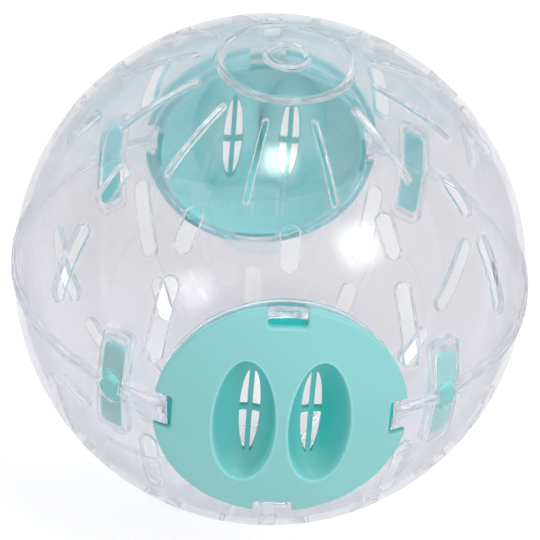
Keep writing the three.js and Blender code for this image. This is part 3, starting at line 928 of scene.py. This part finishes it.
def lit_by_path(tree, seen, through, reflected, other):
    """A strength for what is seen directly, through a clear wall, in a reflection, and by other rays."""
    path = add(tree, "ShaderNodeLightPath").outputs
    strength = other
    choices = {"Is Glossy Ray": reflected, "Is Transmission Ray": through, "Is Camera Ray": seen}
    for ray, value in choices.items():
        strength = ramp(tree, path[ray], 0.0, 1.0, strength, value, "LINEAR")
    return strength


def floor():
    """A wide disc just below the ball: rings of points, closer together under the ball."""
    turn = np.linspace(0, 2 * np.pi, 48, endpoint=False)
    ring = np.array([0.0, 60, 200, 600, 2000, 6000])[:, None]
    points = np.stack(np.broadcast_arrays(ring * np.cos(turn), ring * np.sin(turn), FLOOR_HEIGHT), -1)
    mesh = bpy.data.meshes.new("floor")
    mesh.from_pydata((points.reshape(-1, 3) * 0.001).tolist(), [], grid_faces(len(ring), len(turn)).tolist())
    obj = bpy.data.objects.new("floor", mesh)
    bpy.context.scene.collection.objects.link(obj)
    mesh.update()
    if mesh.polygons[-1].normal.z < 0:
        mesh.flip_normals()
    material, tree, shader, _ = plain_material("floor")
    plain = {"Base Color": (0.86, 0.86, 0.86, 1.0), "Roughness": 0.9, "Specular IOR Level": 0.1,
             "Emission Color": (1.0, 1.0, 1.0, 1.0)}
    for entry, value in plain.items():
        shader.inputs[entry].default_value = value
    light = lit_by_path(tree, seen=0.35, through=0.19, reflected=0.1, other=0.0)
    feed(tree, light, shader.inputs["Emission Strength"])
    mesh.materials.append(material)


floor()
world = bpy.data.worlds.new("room")
bpy.context.scene.world = world
world.use_nodes = True
background = world.node_tree.nodes["Background"]
background.inputs["Color"].default_value = (1.0, 1.0, 1.0, 1.0)
light = lit_by_path(world.node_tree, seen=1.0, through=0.86, reflected=0.74, other=0.72)
feed(world.node_tree, light, background.inputs["Strength"])
print("world:", world.name)

# %% [markdown]
# ## Softboxes and camera
#
# A broad softbox above leaves one clean highlight near the top of the ball. A second one to the front
# right gives the large soft glow that a polished ball picks up. Both fade towards their edges, because a
# plain square light would leave a hard square in the plastic.
#
# The camera is far away with a long lens, so the ball keeps its round outline, and it looks down on the
# front door with a slight roll.

# %%
# Softboxes and camera
SOFTBOX_DISTANCE, CAMERA_DISTANCE = 0.8, 1.434


def direction(azimuth, elevation):
    """From the centre towards a place at an azimuth from the front and an elevation, in radians."""
    level = np.array([np.sin(azimuth), -np.cos(azimuth), 0.0])
    return level * np.cos(elevation) + np.array([0.0, 0.0, np.sin(elevation)])


def softbox(name, azimuth, elevation, size, radiance):
    """A square area light that faces the ball; its power is its radiance times pi times its area, and
    it fades towards its edges."""
    out = direction(*np.radians([azimuth, elevation]))
    light = bpy.data.lights.new(name, "AREA")
    light.shape, light.size = "SQUARE", size
    light.energy = radiance * np.pi * size * size
    light.use_nodes = True
    tree = light.node_tree
    across = add(tree, "ShaderNodeNewGeometry").outputs["Parametric"]
    centred = vectors(tree, "SUBTRACT", across, (0.5, 0.5, 0.0))
    parts = add(tree, "ShaderNodeSeparateXYZ", {0: centred}).outputs
    fades = [ramp(tree, maths(tree, "ABSOLUTE", parts[axis]), 0.06, 0.5, 1.0, 0.0) for axis in "XY"]
    feed(tree, maths(tree, "MULTIPLY", *fades), tree.nodes["Emission"].inputs["Strength"])
    obj = bpy.data.objects.new(name, light)
    bpy.context.scene.collection.objects.link(obj)
    side = np.cross([0.0, 0.0, 1.0], out)
    side /= np.linalg.norm(side)
    obj.matrix_world = matrix_from(side, np.cross(out, side), out, out * SOFTBOX_DISTANCE)
    return obj


def matrix_from(x, y, z, place):
    """A placing matrix from three axes and a place."""
    return Matrix([[x[i], y[i], z[i], place[i]] for i in range(3)] + [[0, 0, 0, 1]])


softbox("softbox_above", azimuth=-10, elevation=83, size=0.28, radiance=13.5)
softbox("softbox_front", azimuth=45, elevation=39, size=0.38, radiance=8.5)

elevation, azimuth, roll = np.radians([35.89, -5.13, 4.62])
back = direction(azimuth, elevation)
right = np.array([np.cos(azimuth), np.sin(azimuth), 0.0])
up = np.cross(back, right)
tilted_right = right * np.cos(roll) + up * np.sin(roll)
tilted_up = up * np.cos(roll) - right * np.sin(roll)
camera = bpy.data.cameras.new("camera")
camera.sensor_width, camera.lens = 36.0, 337.5
camera.clip_start, camera.clip_end = 0.05, 50.0
camera.shift_x, camera.shift_y = -0.00024, -0.0016
view = bpy.data.objects.new("camera", camera)
bpy.context.scene.collection.objects.link(view)
view.matrix_world = matrix_from(tilted_right, tilted_up, back, back * CAMERA_DISTANCE)
bpy.context.scene.camera = view
bpy.context.scene.view_settings.view_transform = "Standard"
print("camera at", tuple(round(v, 3) for v in view.location))
